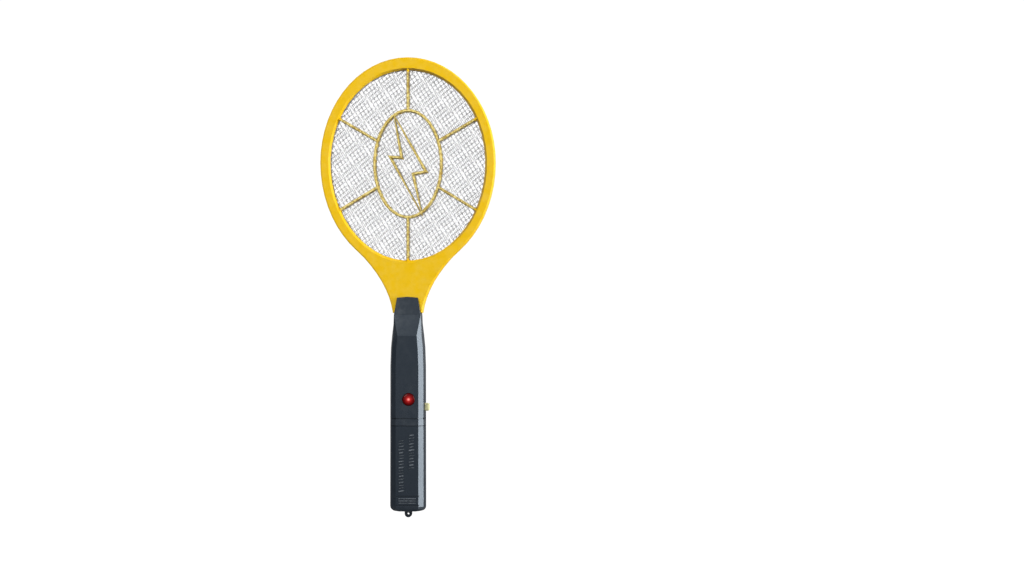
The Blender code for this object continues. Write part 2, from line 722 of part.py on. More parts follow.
# rear shell, full length, with the battery walls, the bosses and the hanging loop
rear_shell = outer_half("rear_shell", 1, 0.0, HANDLE_TOP, black)
cut(rear_shell, hollow_half("rear_shell_room", 1, END_WALL, HANDLE_TOP + 5))
BAY_SECTION = [(11.0, -8.5), (13.6, -6.0), (13.6, 9.4), (10.8, 12.2)]
for i, z in enumerate((BAY_LOW, BAY_HIGH)):
    wall = BAY_SECTION + [(-x, y) for x, y in BAY_SECTION[::-1]]
    rings = [[(x, y, h) for x, y in wall] for h in (z, z + BAY_WALL)]
    add(rear_shell, loft(f"bay_wall_{i}", rings))
half_width, front, back = CELL_RIB
add(rear_shell, box("cell_rib", (-half_width, front, BAY_LOW + 1), (half_width, back, BAY_HIGH + 0.6)))
for i, (x, z) in enumerate(HANDLE_SCREWS):
    boss = [(PARTING, REAR_BOSS), (BOSS_END, REAR_BOSS)]
    add(rear_shell, turned(f"rear_boss_{i}", "Y", (x, z), boss, 12))
    seat = HANDLE_SCREW_SEAT - GAP
    hole = [(-3.0, SCREW_HOLE), (seat, SCREW_HOLE), (seat, SCREW_RECESS), (16.0, SCREW_RECESS)]
    cut(rear_shell, turned(f"rear_boss_hole_{i}", "Y", (x, z), hole, 8))
for i, (x, z) in enumerate(BOARD_SCREWS):
    top = BOARD_Y + BOARD_THICKNESS + GAP
    boss = [(top, BOARD_BOSS), (BOARD_BOSS_END, BOARD_BOSS)]
    add(rear_shell, turned(f"board_boss_{i}", "Y", (x, z), boss, 10))
    hole = [(3.0, SCREW_HOLE), (BOARD_BOSS_END - 2.0, SCREW_HOLE)]
    cut(rear_shell, turned(f"board_boss_hole_{i}", "Y", (x, z), hole, 8))
for x in (-CELL_X, CELL_X):
    hole = [(BAY_HIGH - 2, WIRE_HOLE), (BAY_HIGH + 4, WIRE_HOLE)]
    cut(rear_shell, turned(f"wire_hole_{x > 0}", "Z", (x, WIRE_Y), hole, 8))
cut(rear_shell, button_hole)
angles = [math.radians(a) for a in range(-180, 1, 15)]
loop = [(LOOP_RADIUS * math.cos(a), LOOP_Z + LOOP_RADIUS * math.sin(a)) for a in angles]
loop = [(-LOOP_RADIUS, LOOP_ROOT)] + loop + [(LOOP_RADIUS, LOOP_ROOT)]
add(rear_shell, as_mesh(flat("loop", [loop], LOOP_FRONT, LOOP_BACK)))
cut(rear_shell, turned("loop_hole", "Y", (0, LOOP_Z), [(0, LOOP_HOLE), (8, LOOP_HOLE)], 16))

# battery cover: slides down past the end of the handle
cover = outer_half("battery_cover", -1, 0.0, COVER_TOP, cover_black, "cover")
cut(cover, hollow_half("cover_room", -1, END_WALL, COVER_TOP + 3, carrier="cover"))
for i, x in enumerate((-TONGUE_X, TONGUE_X)):
    root_low = (x - 2.2, -11.9, COVER_TOP - 6)
    add(cover, box(f"cover_tongue_{i}", root_low, (x + 2.2, -10.3, COVER_TOP - 1), None, "cover"))
    tip_low = (x - 2.0, -11.3, COVER_TOP - 3)
    add(cover, box(f"cover_tip_{i}", tip_low, (x + 2.0, -10.1, COVER_TOP + 3), None, "cover"))
for column, (z_low, z_high, x) in enumerate(MARK_COLUMNS):
    z = z_low
    count = 0
    while z < z_high:
        tall = MARK_LENGTHS[(count * 3 + column) % len(MARK_LENGTHS)] * 0.4
        reach = 2.7 - 0.5 * (count % 2)
        right = z + MARK_SLOPE
        mark = [(x - reach, z), (x + reach, right), (x + reach, right + tall), (x - reach, z + tall)]
        rings = [at_depth(mark, -MARK_ROOT), at_depth(inset(mark, 0.15), -MARK_FRONT)]
        add(cover, loft(f"mark_{column}_{count}", rings, None, "cover"))
        z += tall + MARK_SPACE
        count += 1
for i, z in enumerate(GRIP_HEIGHTS):
    half = GRIP_HALF_WIDTH
    low, high = z - GRIP_HALF_HEIGHT, z + GRIP_HALF_HEIGHT
    grip = [(-half, low), (half, low), (half, high), (-half, high)]
    rings = [at_depth(grip, -MARK_ROOT), at_depth(inset(grip, 0.25), -MARK_FRONT)]
    add(cover, loft(f"grip_{i}", rings, None, "cover"))
line_back = COVER_LINE_DEPTH - HANDLE[0][4]
for i, (z, half) in enumerate(COVER_LINES):
    cut(cover, box(f"cover_line_{i}", (-30, -30, z - half), (30, line_back, z + half), None, "cover"))

# ---- battery cells, springs and contact plates ----
BRIDGE_Z = BAY_LOW + BAY_WALL + GAP
PLATE = 0.4
cell_low = BRIDGE_Z + PLATE + GAP
cell_span = CELL_LENGTH + NUB_LENGTH
top_plate = BAY_HIGH - GAP - PLATE
cell_high = top_plate - GAP
plus_up = [(cell_high - cell_span, CELL_RADIUS - 0.5), (cell_high - cell_span + 0.5, CELL_RADIUS)]
plus_up += [(cell_high - NUB_LENGTH - 0.5, CELL_RADIUS), (cell_high - NUB_LENGTH, CELL_RADIUS - 0.5)]
plus_up += [(cell_high - NUB_LENGTH, NUB_RADIUS), (cell_high, NUB_RADIUS)]
turned("cell_1", "Z", (-CELL_X, 0), plus_up, 20, cell_look)
plus_down = [(cell_low + cell_high - z, radius) for z, radius in plus_up[::-1]]
turned("cell_2", "Z", (CELL_X, 0), plus_down, 20, cell_look)


def contact_plate(name, x, half_width, z):
    low = (x - half_width, -PLATE_HALF_DEPTH, z)
    box(name, low, (x + half_width, PLATE_HALF_DEPTH, z + PLATE), contact)


contact_plate("bottom_bridge", 0.0, BRIDGE_HALF_WIDTH, BRIDGE_Z)
contact_plate("top_plate_positive", -PLATE_X, PLATE_HALF_WIDTH, top_plate)
contact_plate("top_plate_negative", PLATE_X, PLATE_HALF_WIDTH, top_plate)


def spring(name, x, z_wide, z_narrow):
    """Conical contact spring: the wide end sits on its plate, the narrow end touches the cell."""
    steps = SPRING_TURNS * 10
    path = []
    for i in range(steps + 1):
        t = i / steps
        angle = 2 * math.pi * SPRING_TURNS * t
        radius = SPRING_WIDE + (SPRING_NARROW - SPRING_WIDE) * t
        rise = z_wide + (z_narrow - z_wide) * t
        path.append((x + radius * math.cos(angle), radius * math.sin(angle), rise))
    wire(name, path, SPRING_WIRE, contact)


wire_room = SPRING_WIRE + GAP
spring("bottom_spring", -CELL_X, cell_low - GAP + wire_room, cell_high - cell_span - wire_room)
spring("top_spring", CELL_X, cell_high + GAP - wire_room, cell_low + cell_span + wire_room)

# ---- circuit board and what stands on it ----
FACE = BOARD_Y - GAP
board_low = (-BOARD_HALF_WIDTH, BOARD_Y, BOARD_LOW)
board_high = (BOARD_HALF_WIDTH, BOARD_Y + BOARD_THICKNESS, BOARD_HIGH)
board = box("circuit_board", board_low, board_high, board_look)
for i, (x, z) in enumerate(BOARD_SCREWS):
    hole = [(BOARD_Y - 2, SCREW_HOLE), (BOARD_Y + 4, SCREW_HOLE)]
    cut(board, turned(f"board_hole_{i}", "Y", (x, z), hole, 8))
# clearance for the pressed button's flange
notch_low = (10.6, BOARD_Y - 2, BOARD_LOW - 2)
cut(board, box("board_notch", notch_low, (15.0, BOARD_Y + 4, BUTTON_Z + BUTTON_HALF_HEIGHT + 3)))
for i, (x, z) in enumerate(HANDLE_SCREWS):
    screw(f"handle_screw_{i + 1}", (x, HANDLE_SCREW_SEAT, z), HANDLE_SCREW_LENGTH)
for i, (x, z) in enumerate(BOARD_SCREWS):
    screw(f"board_screw_{i + 1}", (x, FACE, z), BOARD_SCREW_LENGTH, flipped=True)

# transformer: winding on a bobbin, round the middle leg of a ferrite core
CORE_X, CORE_Y, CORE_Z = -2.8, -2.4, 133.0
core_low = (CORE_X - 8.5, CORE_Y - 2.6, CORE_Z - 7)
core = box("transformer_core", core_low, (CORE_X + 8.5, CORE_Y + 2.6, CORE_Z + 7), core_look)
for i, side in enumerate((-1, 1)):
    x_low = CORE_X + (2.3 if side > 0 else -6.1)
    window_low = (x_low, CORE_Y - 4, CORE_Z - 4.3)
    cut(core, box(f"core_window_{i}", window_low, (x_low + 3.8, CORE_Y + 4, CORE_Z + 4.3)))
winding_low = (CORE_X - 5.7, CORE_Y - 5.6, CORE_Z - 4.0)
winding = box("transformer_winding", winding_low, (CORE_X + 5.7, CORE_Y + 5.6, CORE_Z + 4.0), copper)
bore_low = (CORE_X - 2.6, CORE_Y - 2.9, CORE_Z - 5)
cut(winding, box("winding_bore", bore_low, (CORE_X + 2.6, CORE_Y + 2.9, CORE_Z + 5)))

hv_capacitor = box("high_voltage_capacitor", (-7.5, -4.4, 144.6), (5.5, FACE, 153.6), capacitor_look)
softened = hv_capacitor.modifiers.new("rounded", "BEVEL")
softened.width = 0.8 * MM
softened.segments = 2

transistor = box("transistor", (5.6, -7.6, 113.0), (11.6, -4.4, 121.0), chip_look)
for i, z in enumerate((114.8, 117.0, 119.2)):
    add(transistor, box(f"transistor_leg_{i}", (8.3, -5.0, z - 0.35), (8.9, FACE, z + 0.35)))


def axial(name, centre, along, body, radius, look):
    """Diode or resistor lying over the board, with its leads bent down to it."""
    x, z = centre
    dx, dz = along
    reach = body / 2 + 1.8
    height = FACE - radius - 0.4
    lead = [(x - dx * reach, FACE, z - dz * reach), (x - dx * reach, height + 0.5, z - dz * reach)]
    lead += [(x - dx * (reach - 0.5), height, z - dz * (reach - 0.5))]
    lead += [(2 * x - a, b, 2 * z - c) for a, b, c in lead[::-1]]
    leads = as_mesh(wire(name + "_lead", lead, 0.3, resolution=0))
    profile = [(-body / 2, radius * 0.8), (-body / 2 + 0.5, radius)]
    profile += [(-position, size) for position, size in profile[::-1]]
    if dx:
        made = turned(name, "X", (height, z), [(x + a, r) for a, r in profile], 8, look)
    else:
        made = turned(name, "Z", (x, height), [(z + a, r) for a, r in profile], 8, look)
    add(made, leads)


axial("diode_1", (9.6, 133.0), (0, 1), 5.0, 1.35, diode_look)
axial("diode_2", (-7.2, 113.2), (1, 0), 5.0, 1.35, diode_look)
axial("diode_3", (-7.2, 118.4), (1, 0), 5.0, 1.35, diode_look)
axial("resistor_1", (-7.2, 103.0), (1, 0), 6.3, 1.2, resistor_look)
axial("resistor_2", (-7.2, 108.1), (1, 0), 6.3, 1.2, resistor_look)

DISC = [(8.2, 2.4), (8.6, 3.2), (10.2, 3.2), (10.6, 2.4)]
smoothing = turned("smoothing_capacitor", "X", (-0.8, 147.0), DISC, 14, disc_look)
for i, z in enumerate((145.4, 148.6)):
    add(smoothing, box(f"smoothing_leg_{i}", (9.15, 0.5, z - 0.3), (9.65, FACE, z + 0.3)))

LED_BODY = [(-2.0, 2.9), (-3.0, 2.9), (-3.0, 2.5), (-7.9, 2.5), (-9.3, 2.0), (-10.2, 1.0)]
led = turned("indicator_led", "Y", (LENS_X, LENS_Z), LED_BODY, 16, led_look)
for i, x in enumerate((LENS_X - 1.27, LENS_X + 1.27)):
    add(led, box(f"led_leg_{i}", (x - 0.25, -2.4, LENS_Z - 0.25), (x + 0.25, FACE, LENS_Z + 0.25)))
LENS = [(-11.0, LENS_RADIUS), (-13.5, LENS_RADIUS)]
LENS += [(-14.1, LENS_RADIUS * 0.86), (-14.4, LENS_RADIUS * 0.45)]
turned("indicator_lens", "Y", (LENS_X, LENS_Z), LENS, 24, lens_look)

# ---- push switch, plunger and side button ----
SWITCH_FACE = 9.9
switch_low = (2.2, -3.2, BUTTON_Z - 3.4)
switch_body = box("switch_body", switch_low, (SWITCH_FACE, FACE, BUTTON_Z + 1.6), switch_look)
pocket_low = (SWITCH_FACE - 3.0, -1.9, BUTTON_Z - 1.9)
cut(switch_body, box("switch_pocket", pocket_low, (SWITCH_FACE + 2, 1.9, BUTTON_Z + 1.0)))
plunger_low = (SWITCH_FACE - 0.9, -1.5, BUTTON_Z - 1.5)
box("switch_plunger", plunger_low, (13.0, 1.5, BUTTON_Z + 0.6), plunger_look, "button")


def button_ring(x, shrink):
    y = BUTTON_HALF_DEPTH - shrink
    z = BUTTON_HALF_HEIGHT - shrink
    corner = 0.8
    outline = [(y, z - corner), (y - corner, z), (corner - y, z), (-y, z - corner)]
    outline += [(-a, -b) for a, b in outline]
    return [(x, a, BUTTON_Z + b) for a, b in outline]


flange = [(13.3, -1.2), (14.5, -1.2), (14.5, 0.0)]
crown = [(BUTTON_OUT - 1.2, 0.0), (BUTTON_OUT - 0.4, 0.4), (BUTTON_OUT, 1.3)]
loft("side_button", [button_ring(x, shrink) for x, shrink in flange + crown], button_look, "button")

# ---- wires ----
plus = [(-CELL_X, WIRE_Y, BAY_HIGH + 0.2), (-CELL_X, WIRE_Y, 76), (-5.0, 2.0, 88)]
plus += [(-4.4, 1.2, 93), (-4.4, 3.2, 95)]
wire("battery_wire_positive", smooth_path(plus), 0.7, red_wire)
minus = [(CELL_X, WIRE_Y, BAY_HIGH + 0.2), (CELL_X, WIRE_Y, 76), (5.4, 2.0, 88)]
minus += [(5.0, 1.2, 91.5), (5.0, 3.2, 93.5)]
wire("battery_wire_negative", smooth_path(minus), 0.7, black_wire)
GRID_EDGE = OPENING_Z - GRID_HALF_HEIGHT - GAP
high = [(0.0, 3.2, 157.2), (0.0, 1.0, 160), (0.0, 0.4, 190), (0.0, 0.0, 225), (0.0, 0.0, GRID_EDGE)]
wire("high_voltage_lead", smooth_path(high), 0.8, hv_wire)
for name, x, side in (("ground_lead_front", -3.6, -1), ("ground_lead_rear", 3.6, 1)):
    depth = side * (OUTER_GRID_Y - 0.4)
    ground = [(x, 3.2, 157.2), (x, 1.0, 160), (x, side * 1.5, 190), (x, side * 2.8, 225)]
    ground.append((x, depth, GRID_EDGE))
    wire(name, smooth_path(ground), 0.6, black_wire)
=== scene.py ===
"""Looks of the electric fly swatter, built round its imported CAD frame. Lengths are in metres."""

import math

import bmesh
import bpy
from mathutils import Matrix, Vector


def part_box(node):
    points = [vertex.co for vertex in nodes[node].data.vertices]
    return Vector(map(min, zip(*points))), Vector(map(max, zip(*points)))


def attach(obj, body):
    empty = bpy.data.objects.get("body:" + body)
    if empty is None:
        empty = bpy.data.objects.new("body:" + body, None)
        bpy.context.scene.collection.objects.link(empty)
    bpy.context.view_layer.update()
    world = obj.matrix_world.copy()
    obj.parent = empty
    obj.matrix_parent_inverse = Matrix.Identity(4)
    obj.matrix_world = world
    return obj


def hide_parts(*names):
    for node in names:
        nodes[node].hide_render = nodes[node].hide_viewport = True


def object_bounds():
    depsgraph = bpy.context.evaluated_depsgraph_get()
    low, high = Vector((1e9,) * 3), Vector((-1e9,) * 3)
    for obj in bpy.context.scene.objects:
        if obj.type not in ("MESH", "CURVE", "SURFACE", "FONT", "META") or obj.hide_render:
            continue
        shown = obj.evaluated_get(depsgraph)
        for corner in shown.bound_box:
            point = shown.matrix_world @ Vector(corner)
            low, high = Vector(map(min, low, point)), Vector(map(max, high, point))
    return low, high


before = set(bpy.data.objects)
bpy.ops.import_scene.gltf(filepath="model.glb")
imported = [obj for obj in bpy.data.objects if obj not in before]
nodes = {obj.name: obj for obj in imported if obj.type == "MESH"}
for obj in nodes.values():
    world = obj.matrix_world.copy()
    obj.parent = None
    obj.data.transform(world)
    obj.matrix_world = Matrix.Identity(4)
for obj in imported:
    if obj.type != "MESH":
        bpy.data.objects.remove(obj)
cad_low, cad_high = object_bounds()

MM = 0.001
BODY = "swatter_body"

# the eye: how wide a view it takes in at the swatter, and where it stands
LENS = 85.0
SENSOR = 36.0
VIEW_WIDTH = 993.3 * MM
VIEW_BELOW_TOP = 223.1 * MM
VIEW_ASIDE = 100.7 * MM
AZIMUTH = math.radians(5.0)
EYE_DISTANCE = VIEW_WIDTH * LENS / SENSOR
eye_height = cad_high.z - VIEW_BELOW_TOP
eye = Vector((EYE_DISTANCE * math.sin(AZIMUTH), -EYE_DISTANCE * math.cos(AZIMUTH), eye_height))

# colours
YELLOW = (0.895, 0.545, 0.006)
YELLOW_WORN = (0.93, 0.70, 0.16)
BLACK = (0.0172, 0.0240, 0.0342)
BLACK_WORN = (0.10, 0.11, 0.12)
# painted highlight on the crests of the raised marks and grips on the battery cover
MARK_CREST_HIGHLIGHT = (0.17, 0.19, 0.215)
RIB_CREST = (0.92, 0.78, 0.31)
# painted shade: patches on the rib crests, the ribs' sloping sides, and the ring's inner bevel round the top
# and right
RIB_SHADE_PATCH = (0.40, 0.27, 0.05)
RIB_SIDE_SHADE = (0.70, 0.58, 0.22)
RIB_SIDE_DEEP_SHADE = (0.26, 0.155, 0.028)
BEVEL_PAINTED_SHADE = (0.44, 0.26, 0.045)
COOL_SHEEN = (0.82, 0.95, 1.07)
WARM_SHEEN = (1.0, 0.86, 0.35)
BOARD_GREEN = (0.02, 0.16, 0.06)
BOARD_TRACK = (0.05, 0.30, 0.08)
TAPE = (0.62, 0.44, 0.07)
TAPE_TURN = (0.70, 0.52, 0.10)
DIODE_BODY = (0.04, 0.04, 0.045)
DIODE_RING = (0.7, 0.7, 0.7)
RESISTOR_BODY = (0.62, 0.46, 0.26)
BROWN_RING = (0.30, 0.10, 0.03)
BLACK_RING = (0.05, 0.05, 0.05)
RED_RING = (0.60, 0.05, 0.03)
ORANGE_RING = (0.50, 0.25, 0.02)
CELL_SLEEVE = (0.42, 0.035, 0.02)
CELL_GOLD = (0.72, 0.50, 0.16)
CELL_CAN = (0.66, 0.66, 0.64)

# where a resistor and its colour rings start, from left to right
RESISTOR_LEFT = -12.2 * MM
FIRST_RING = -9.2 * MM
RING_STEP = 1.4 * MM
RING_WIDTH = 0.6 * MM
# radius over which the lens's glow fades to its rim
LENS_RADIUS = 6.0 * MM
# where the raised marks and grips on the battery cover have their crests
CREST_FRONT = -14.3 * MM
CREST_BACK = -13.75 * MM
# half sizes of the oval inside which the frame is ribs, and its shares where ribs and bevel end
RIB_OVAL = (75.0 * MM, 92.0 * MM)
RIBS_END = (0.975, 0.99)
BEVEL_END = (1.06, 1.08)
DOWN_AND_LEFT = (-0.87, 0.0, -0.5)


# ---- materials ----
class Look:
    """A node material built step by step round one Principled shader."""

    def __init__(self, name):
        self.material = bpy.data.materials.new(name)
        self.material.use_nodes = True
        self.tree = self.material.node_tree
        self.shader = self.tree.nodes["Principled BSDF"]
        self.coord = self.tree.nodes.new("ShaderNodeTexCoord").outputs["Object"]

    def node(self, kind, **settings):
        made = self.tree.nodes.new(kind)
        for key, value in settings.items():
            if key in made.inputs:
                made.inputs[key].default_value = value
            else:
                setattr(made, key, value)
        return made

    def join(self, source, target):
        self.tree.links.new(source, target)

    def noise(self, scale, detail=3.0, rough=0.55, stretch=None):
        made = self.node("ShaderNodeTexNoise", Scale=scale, Detail=detail, Roughness=rough)
        source = self.coord
        if stretch:
            mapping = self.node("ShaderNodeMapping")
            mapping.inputs["Scale"].default_value = stretch
            self.join(source, mapping.inputs["Vector"])
            source = mapping.outputs["Vector"]
        self.join(source, made.inputs["Vector"])
        return made.outputs["Fac"]

    def ramp(self, source, stops):
        made = self.node("ShaderNodeValToRGB")
        ramp = made.color_ramp
        while len(ramp.elements) < len(stops):
            ramp.elements.new(0.5)
        for element, (place, colour) in zip(ramp.elements, stops):
            element.position = place
            element.color = (*colour, 1.0)
        self.join(source, made.inputs["Fac"])
        return made.outputs["Color"]

    def spread(self, source, low, high, from_low=0.3, from_high=0.7):
        made = self.node("ShaderNodeMapRange")
        limits = {"From Min": from_low, "From Max": from_high, "To Min": low, "To Max": high}
        for key, value in limits.items():
            made.inputs[key].default_value = value
        self.join(source, made.inputs["Value"])
        return made.outputs["Result"]

    def mix(self, share, first, second, blend="MIX"):
        """Blend of two colours. The numbers are the colour sockets of a Mix node."""
        made = self.node("ShaderNodeMix", data_type="RGBA", blend_type=blend)
        for key, value in ((0, share), (6, first), (7, second)):
            if isinstance(value, bpy.types.NodeSocket):
                self.join(value, made.inputs[key])
            elif key == 0:
                made.inputs[key].default_value = value
            else:
                made.inputs[key].default_value = (*value, 1.0)
        return made.outputs[2]

    def times(self, a, b, operation="MULTIPLY"):
        made = self.node("ShaderNodeMath", operation=operation)
        for key, value in ((0, a), (1, b)):
            if isinstance(value, bpy.types.NodeSocket):
                self.join(value, made.inputs[key])
            else:
                made.inputs[key].default_value = value
        return made.outputs[0]

    def height(self, axis="Z"):
        made = self.node("ShaderNodeSeparateXYZ")
        self.join(self.coord, made.inputs[0])
        return made.outputs[axis]

    def edges(self, low=0.505, high=0.56):
        """Share of wear along convex edges."""
        made = self.node("ShaderNodeNewGeometry")
        return self.spread(made.outputs["Pointiness"], 0.0, 1.0, low, high)

    def crevices(self, reach=1.6 * MM, samples=6):
        """Share of shelter: 1 deep in grooves and corners, 0 in the open."""
        made = self.node("ShaderNodeAmbientOcclusion", samples=samples, Distance=reach)
        return self.spread(made.outputs["AO"], 1.0, 0.0, 0.25, 0.85)

    def distance(self, centre, scale):
        """Distance from a point, with each axis scaled."""
        away = self.node("ShaderNodeVectorMath", operation="SUBTRACT")
        self.join(self.coord, away.inputs[0])
        away.inputs[1].default_value = centre
        scaled = self.node("ShaderNodeVectorMath", operation="MULTIPLY")
        self.join(away.outputs[0], scaled.inputs[0])
        scaled.inputs[1].default_value = scale
        length = self.node("ShaderNodeVectorMath", operation="LENGTH")
        self.join(scaled.outputs[0], length.inputs[0])
        return length.outputs["Value"]

    def within(self, axis, low, high, soft=0.05 * MM):
        """1 between two places along an axis, 0 outside, with a soft step."""
        place = self.height(axis)
        rise = self.spread(place, 0.0, 1.0, low - soft, low + soft)
        fall = self.spread(place, 1.0, 0.0, high - soft, high + soft)
        return self.times(rise, fall)

    def bump(self, source, distance, strength=0.6):
        made = self.node("ShaderNodeBump", Strength=strength, Distance=distance)
        self.join(source, made.inputs["Height"])
        previous = self.shader.inputs["Normal"].links
        if previous:
            self.join(previous[0].from_socket, made.inputs["Normal"])
        self.join(made.outputs["Normal"], self.shader.inputs["Normal"])

    def colour(self, source):
        self.join(source, self.shader.inputs["Base Color"])

    def roughness(self, source):
        self.join(source, self.shader.inputs["Roughness"])


def shade(rgb, factor):
    """A colour made darker or lighter."""
    return tuple(min(1.0, c * factor) for c in rgb)


def middle(node):
    """Middle of a CAD node's box."""
    low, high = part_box(node)
    return (low + high) / 2


def plastic(
    name,
    rgb,
    rough=0.4,
    spread=0.06,
    grain=1500.0,
    depth=0.00002,
    wear=0.3,
    worn=None,
    crevice_shade=0.0,
    extra=None,
    uneven=0.07,
    gloss=0.5,
    tint=(1.0, 1.0, 1.0),
    wavy=1.0,
    worn_from=(0.505, 0.56),
):
    """Moulded plastic: slow colour drift, fine grain, paler wear along the edges, and painted shade that
    darkens the grooves and corners.
    """
    look = Look(name)
    drift = look.noise(22.0, 4.0)
    base = look.ramp(drift, [(0.25, shade(rgb, 1 - spread)), (0.75, shade(rgb, 1 + spread))])
    if extra:
        base = extra(look, base)
    speck = look.noise(grain * 0.4, 2.0)
    base = look.mix(look.spread(speck, 0.0, 0.35, 0.5, 0.8), base, shade(rgb, 0.86))
    edge = look.times(look.edges(*worn_from), look.spread(look.noise(160.0, 4.0), 0.0, wear, 0.35, 0.7))
    base = look.mix(edge, base, worn or shade(rgb, 1.35))
    # painted shade: the colour darkens in grooves, seams and corners, as far as they are sheltered
    if crevice_shade:
        base = look.mix(look.times(look.crevices(), crevice_shade), base, shade(rgb, 0.22))
    look.colour(base)
    look.roughness(look.spread(look.noise(55.0, 5.0), rough - uneven, rough + uneven))
    look.shader.inputs["Specular IOR Level"].default_value = gloss
    look.shader.inputs["Specular Tint"].default_value = (*tint, 1.0)
    look.bump(look.noise(grain, 2.0), depth, 0.5)
    look.bump(look.noise(90.0, 3.0), depth * 2, 0.2 * wavy)
    return look


def metal(name, rgb, rough=0.3, metallic=1.0, brushed=(1.0, 1.0, 12.0), scale=260.0):
    """Plated or brushed metal: streaks and dull patches."""
    look = Look(name)
    look.shader.inputs["Metallic"].default_value = metallic
    patch = look.noise(70.0, 4.0)
    base = look.ramp(patch, [(0.3, shade(rgb, 0.82)), (0.7, shade(rgb, 1.1))])
    streak = look.noise(scale, 3.0, stretch=brushed)
    base = look.mix(look.spread(streak, 0.0, 0.4, 0.4, 0.75), base, shade(rgb, 0.7))
    look.colour(base)
    look.roughness(look.spread(streak, rough - 0.08, rough + 0.16))
    look.bump(streak, 0.00002, 0.35)
    return look


def ribs_and_painted_shade(look, base):
    """The thin ribs inside the ring are duller than the ring, with painted shade in patches along their
    crests and over their sloping sides, and painted shade on the ring's inner bevel round the top and right.
    """
    away = look.distance(middle("front_mesh"), (1 / RIB_OVAL[0], 0.0, 1 / RIB_OVAL[1]))
    inside = look.spread(away, 1.0, 0.0, *RIBS_END)
    facing = look.node("ShaderNodeSeparateXYZ")
    normal = look.node("ShaderNodeNewGeometry")
    look.join(normal.outputs["True Normal"], facing.inputs[0])
    # painted shade: the ribs' sloping sides are coloured darker, and their crests darker in patches, for the
    # shadows of the grid strands
    steep = look.spread(look.times(facing.outputs["Y"], 0.0, "ABSOLUTE"), 1.0, 0.0, 0.90, 0.985)
    shade_patches = look.spread(look.noise(420.0, 3.0), 0.0, 0.9, 0.45, 0.55)
    streaked = look.spread(look.noise(300.0, 3.0), 0.0, 1.0, 0.44, 0.54)
    crest = look.mix(shade_patches, RIB_CREST, RIB_SHADE_PATCH)
    ribs = look.mix(steep, crest, look.mix(streaked, RIB_SIDE_SHADE, RIB_SIDE_DEEP_SHADE))
    # painted shade: the ring's inner bevel is coloured brown round the top and right, where it faces down and
    # left, away from the light
    turned_in = look.node("ShaderNodeVectorMath", operation="DOT_PRODUCT")
    look.join(normal.outputs["Normal"], turned_in.inputs[0])
    turned_in.inputs[1].default_value = DOWN_AND_LEFT
    shaded_share = look.spread(turned_in.outputs["Value"], 0.0, 0.9, 0.10, 0.40)
    near = look.spread(away, 1.0, 0.0, *BEVEL_END)
    base = look.mix(look.times(shaded_share, near), base, BEVEL_PAINTED_SHADE)
    return look.mix(inside, base, ribs)


def raised_marks(look, base):
    """The crests of the raised marks and grips are painted paler, unevenly: a painted highlight where they
    catch the light.
    """
    crest = look.within("Y", CREST_FRONT, CREST_BACK)
    patchy = look.spread(look.noise(520.0, 3.0), 0.4, 1.0, 0.42, 0.58)
    return look.mix(look.times(crest, patchy), base, MARK_CREST_HIGHLIGHT)


yellow = plastic(
    "frame_plastic",
    YELLOW,
    0.40,
    0.035,
    wear=0.35,
    worn=YELLOW_WORN,
    # strength of the painted shade in grooves and corners
    crevice_shade=0.4,
    extra=ribs_and_painted_shade,
    gloss=0.18,
    tint=WARM_SHEEN,
)
HANDLE_PLASTIC = {
    "spread": 0.02,
    "depth": 0.000012,
    "wear": 0.5,
    "worn": BLACK_WORN,
    # strength of the painted shade in the grooves and seams of the handle and cover
    "crevice_shade": 0.95,
    "uneven": 0.012,
    "tint": COOL_SHEEN,
    "gloss": 0.49,
    "wavy": 0.25,
    "worn_from": (0.56, 0.68),
}
black = plastic("handle_plastic", BLACK, 0.27, **HANDLE_PLASTIC)
cover_look = plastic("cover_plastic", shade(BLACK, 0.93), 0.28, extra=raised_marks, **HANDLE_PLASTIC)
button_look = plastic("button_plastic", (0.64, 0.62, 0.35), 0.45, 0.06, gloss=0.25)
spacer_look = plastic("spacer_plastic", (0.78, 0.78, 0.74), 0.5, 0.05)
grid_look = metal("grid_metal", (0.55, 0.55, 0.57), 0.38, 0.75, scale=700.0)
inner_look = metal("inner_grid_metal", (0.53, 0.53, 0.55), 0.36, 0.8, scale=700.0)
steel = metal("screw_steel", (0.60, 0.60, 0.61), 0.3, scale=1200.0)
nickel = metal("contact_nickel", (0.66, 0.64, 0.58), 0.28, scale=500.0)
ferrite = plastic("ferrite", (0.05, 0.05, 0.055), 0.62, 0.2, grain=2500.0)
epoxy = plastic("epoxy_black", (0.028, 0.028, 0.03), 0.5, 0.2)
switch_look = plastic("switch_plastic", (0.07, 0.07, 0.08), 0.45, 0.15)
plunger_look = plastic("plunger_plastic", (0.82, 0.82, 0.78), 0.45, 0.05)
red_wire = plastic("wire_red", (0.55, 0.02, 0.02), 0.42, 0.1, grain=900.0)
black_wire = plastic("wire_black", (0.025, 0.025, 0.028), 0.42, 0.2, grain=900.0)
white_wire = plastic("wire_white", (0.78, 0.78, 0.76), 0.45, 0.06, grain=900.0)
red_dip = plastic("capacitor_dip", (0.40, 0.05, 0.03), 0.3, 0.12, grain=600.0)
blue_dip = plastic("capacitor_disc", (0.05, 0.15, 0.42), 0.3, 0.12, grain=600.0)


